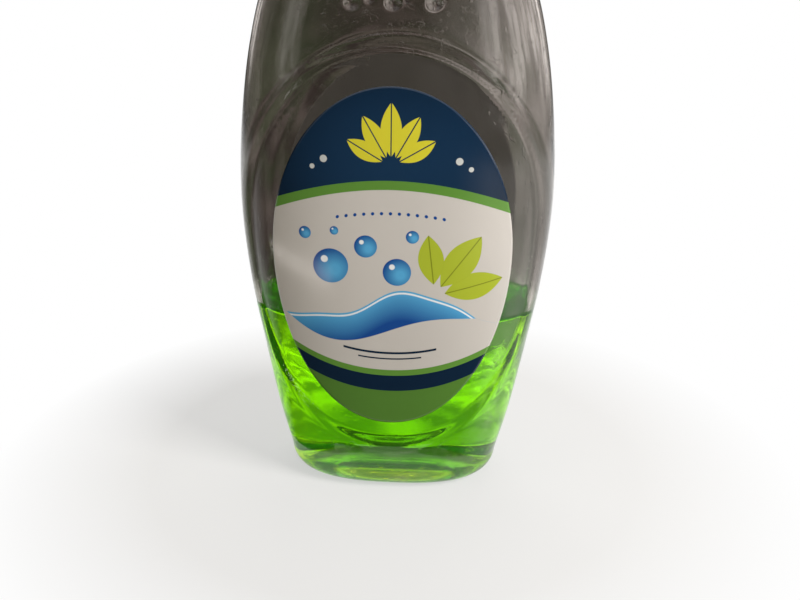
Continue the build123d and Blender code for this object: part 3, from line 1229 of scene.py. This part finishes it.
def make_floor():
    """A pale floor that takes the bottle's shadow and fades to white further out.

    Bent rays find brighter and darker patches on it, which give the soap its light and dark.
    """
    turns = circle_turns(64)
    grid = round_rings([(radius, 0.0) for radius in FLOOR_RADII], turns)
    points = np.vstack([grid.reshape(-1, 3), [[0, 0, 0]]])
    faces = turned_over(skin_faces(*grid.shape[:2]))
    faces += [(len(points) - 1, j, (j + 1) % len(turns)) for j in range(len(turns))]
    finish = Finish("pale_floor")
    finish.set(Base_Color=(0.86, 0.86, 0.85), Roughness=0.6)
    seen, _, bent = finish.rays()
    span = (finish.x**2 + finish.y**2).root()
    # White further out, and darker to bent rays under the bottle, in millimetres from the middle
    fade = ((span - 20) / 150).held(0.55)
    bare = ((span - 35) / 90).held() * 0.45 + 0.55
    patch = finish.patches(34.0, 2.0, 6) * 0.72 + 0.28
    colour_of_glow = finish.mix(bare * patch, (0.04, 0.14, 0.08), (1.8, 1.7, 1.55))
    colour_of_glow = finish.mix(bent, WHITE, colour_of_glow)
    inputs = {"Base Color": BLACK, "Specular IOR Level": 0.0}
    inputs |= {"Emission Color": colour_of_glow, "Emission Strength": 1.0}
    glow = finish.node("ShaderNodeBsdfPrincipled", {}, inputs)
    finish.show((fade * seen).most(bent), finish.shader, glow)
    make_object("floor", points, faces, [finish.material])


def make_lamp(name, place, size, power, shade_of_light):
    """A softbox that faces the bottle."""
    data = bpy.data.lights.new(name, "AREA")
    data.shape = "RECTANGLE"
    data.size, data.size_y = size
    data.energy = power
    data.color = shade_of_light
    lamp = bpy.data.objects.new(name, data)
    lamp.location = place
    lamp.visible_glossy = False
    lamp.visible_transmission = False
    lamp.rotation_mode = "QUATERNION"
    lamp.rotation_quaternion = (Vector(LAMP_AIM) - Vector(place)).to_track_quat("-Z", "Y")
    bpy.context.scene.collection.objects.link(lamp)


def make_surround():
    """A wide bowl that only mirrored and bent rays meet, so that clear walls show their form.

    Both find soft windows on its wall. Bent rays find it dark, and paler to the right. Mirrored
    rays find it dark in front, and find the pale floor at the right and behind.
    """
    grid = round_rings(BOWL_FLOOR + BOWL_WALL, circle_turns(96))
    faces = turned_over(skin_faces(*grid.shape[:2]))
    finish = Finish("dark_surround")
    _, mirrored, bent = finish.rays()
    mirrored = mirrored * (1 - bent)
    x, z = finish.x, finish.z
    span = (x**2 + finish.y**2).root()
    turn = x.math("ARCTAN2", -finish.y)
    ripple = finish.patches(5.0, 3.0, 4.2, 0.6, UPRIGHT, 0.08)
    streak = finish.patches(3.0, 2.0, 5, 0.3, UPRIGHT)
    line = finish.patches(9.0, 3.0, 6, 0.4, (1.0, 1.0, 0.2))
    moss = finish.patches(2.2, 1.0, 6) * z.below(180.0, 300.0) * 0.6
    window = turn.between(1.2, 2.0, 0.2) * (line * 0.9 + 0.25)
    for start, end, soft, strength in WINDOWS:
        window = window + turn.between(start, end, soft) * strength
    window = window * z.between(*WINDOW_HEIGHTS) * ripple
    bright = ((x + 20) / 330).held() * (ripple * 0.6 + 0.5)
    behind = finish.mix(streak, (0.0125, 0.0093, 0.0080), (0.044, 0.035, 0.031))
    behind = finish.mix(moss, behind, (0.013, 0.021, 0.008))
    behind = finish.mix(bright, behind, (0.16, 0.146, 0.134))
    behind = finish.mix(window, behind, (0.42, 0.385, 0.365))
    sheen = turn.between(-1.25, -0.5, 0.2) * (span + turn * 70).between(225.0, 255.0, 24.0)
    glare = turn.between(0.5, 1.7, 0.35) * span.between(300.0, 900.0, 100.0)
    light = window + sheen * 2.4 + glare * 0.2
    ahead = finish.mix(light, (0.006, 0.0055, 0.005), (1.2, 1.12, 1.06))
    # Where bent rays meet the bowl, then where mirrored rays do, and its fading upper edge
    for_bent = ((span - 120) / 130).held().most(turn.between(-1.9, 1.0, 0.5))
    for_mirrored = (turn.between(-1.6, 1.0, 0.4) + ((span - 900) / 500).held()).least(1.0)
    there = for_bent * (1 - mirrored) + for_mirrored * mirrored
    finish.set(
        Base_Color=BLACK,
        Specular_IOR_Level=0.0,
        Emission_Color=finish.mix(mirrored, behind, ahead),
        Emission_Strength=3.0,
        Alpha=there * (1 - ((z - 900) / 700).held()),
    )
    bowl = make_object("dark_surround", grid, faces, [finish.material])
    bowl.visible_camera = False
    bowl.visible_diffuse = False
    bowl.visible_shadow = False
    bowl.visible_volume_scatter = False


def make_camera():
    """A camera that looks down on the front from close by, as in the photograph."""
    data = bpy.data.cameras.new("photo_view")
    data.sensor_fit = "HORIZONTAL"
    data.sensor_width = 36.0
    data.lens = data.sensor_width * FOCAL_SHARE
    data.clip_start, data.clip_end = 0.01, 20
    camera = bpy.data.objects.new("photo_view", data)
    across = Vector((cos(CAMERA_TURN), sin(CAMERA_TURN), 0))
    ahead = Vector((-sin(CAMERA_TURN), cos(CAMERA_TURN), 0))
    look = ahead * cos(CAMERA_TILT) - Vector((0, 0, sin(CAMERA_TILT)))
    place = -ahead * CAMERA_DISTANCE + across * CAMERA_SIDE + Vector((0, 0, CAMERA_HEIGHT))
    turn = Matrix((across, across.cross(look), -look)).transposed().to_4x4()
    roll = Matrix.Rotation(CAMERA_ROLL, 4, "Z")
    camera.matrix_world = Matrix.Translation(place) @ turn @ roll
    bpy.context.scene.collection.objects.link(camera)
    bpy.context.scene.camera = camera


class SOAPBOTTLE_OT_stage(bpy.types.Operator):
    """Sets the floor, the light and the camera"""

    bl_idname = "soap_bottle.stage"
    bl_label = "Stage"

    def execute(self, context):
        context.scene.view_settings.view_transform = "Standard"
        make_world()
        make_floor()
        for lamp in LAMPS:
            make_lamp(*lamp)
        make_surround()
        make_camera()
        return {"FINISHED"}


# Sidebar and registration

STEPS = (
    SOAPBOTTLE_OT_bottle,
    SOAPBOTTLE_OT_soap,
    SOAPBOTTLE_OT_labels,
    SOAPBOTTLE_OT_cap,
    SOAPBOTTLE_OT_wad,
    SOAPBOTTLE_OT_stage,
)
SETTINGS = {
    "soap_bottle_sizes": SoapBottleSizes,
    "soap_bottle_cap": SoapBottleCap,
    "soap_bottle_labels": SoapBottleLabels,
    "soap_bottle_colours": SoapBottleColours,
}


class SOAPBOTTLE_PT_panel(bpy.types.Panel):
    """Lists the settings and the steps"""

    bl_idname = "SOAPBOTTLE_PT_panel"
    bl_label = "Soap bottle"
    bl_space_type = "VIEW_3D"
    bl_region_type = "UI"
    bl_category = "Soap bottle"

    def draw(self, context):
        for group in SETTINGS:
            settings = getattr(context.scene, group)
            box = self.layout.box()
            for key in settings.bl_rna.properties.keys():
                if key not in {"rna_type", "name"}:
                    box.prop(settings, key)
        for step in STEPS:
            self.layout.operator(step.bl_idname)


CLASSES = (*SETTINGS.values(), *STEPS, SOAPBOTTLE_PT_panel)


def register():
    for cls in CLASSES:
        bpy.utils.register_class(cls)
    for name, group in SETTINGS.items():
        setattr(bpy.types.Scene, name, bpy.props.PointerProperty(type=group))


def unregister():
    for name in SETTINGS:
        delattr(bpy.types.Scene, name)
    for cls in reversed(CLASSES):
        bpy.utils.unregister_class(cls)


def main():
    """Builds every piece and the stage."""
    register()
    bpy.ops.soap_bottle.bottle()
    bpy.ops.soap_bottle.soap()
    bpy.ops.soap_bottle.labels()
    bpy.ops.soap_bottle.cap()
    bpy.ops.soap_bottle.wad()
    bpy.ops.soap_bottle.stage()


if __name__ == "__main__":
    main()
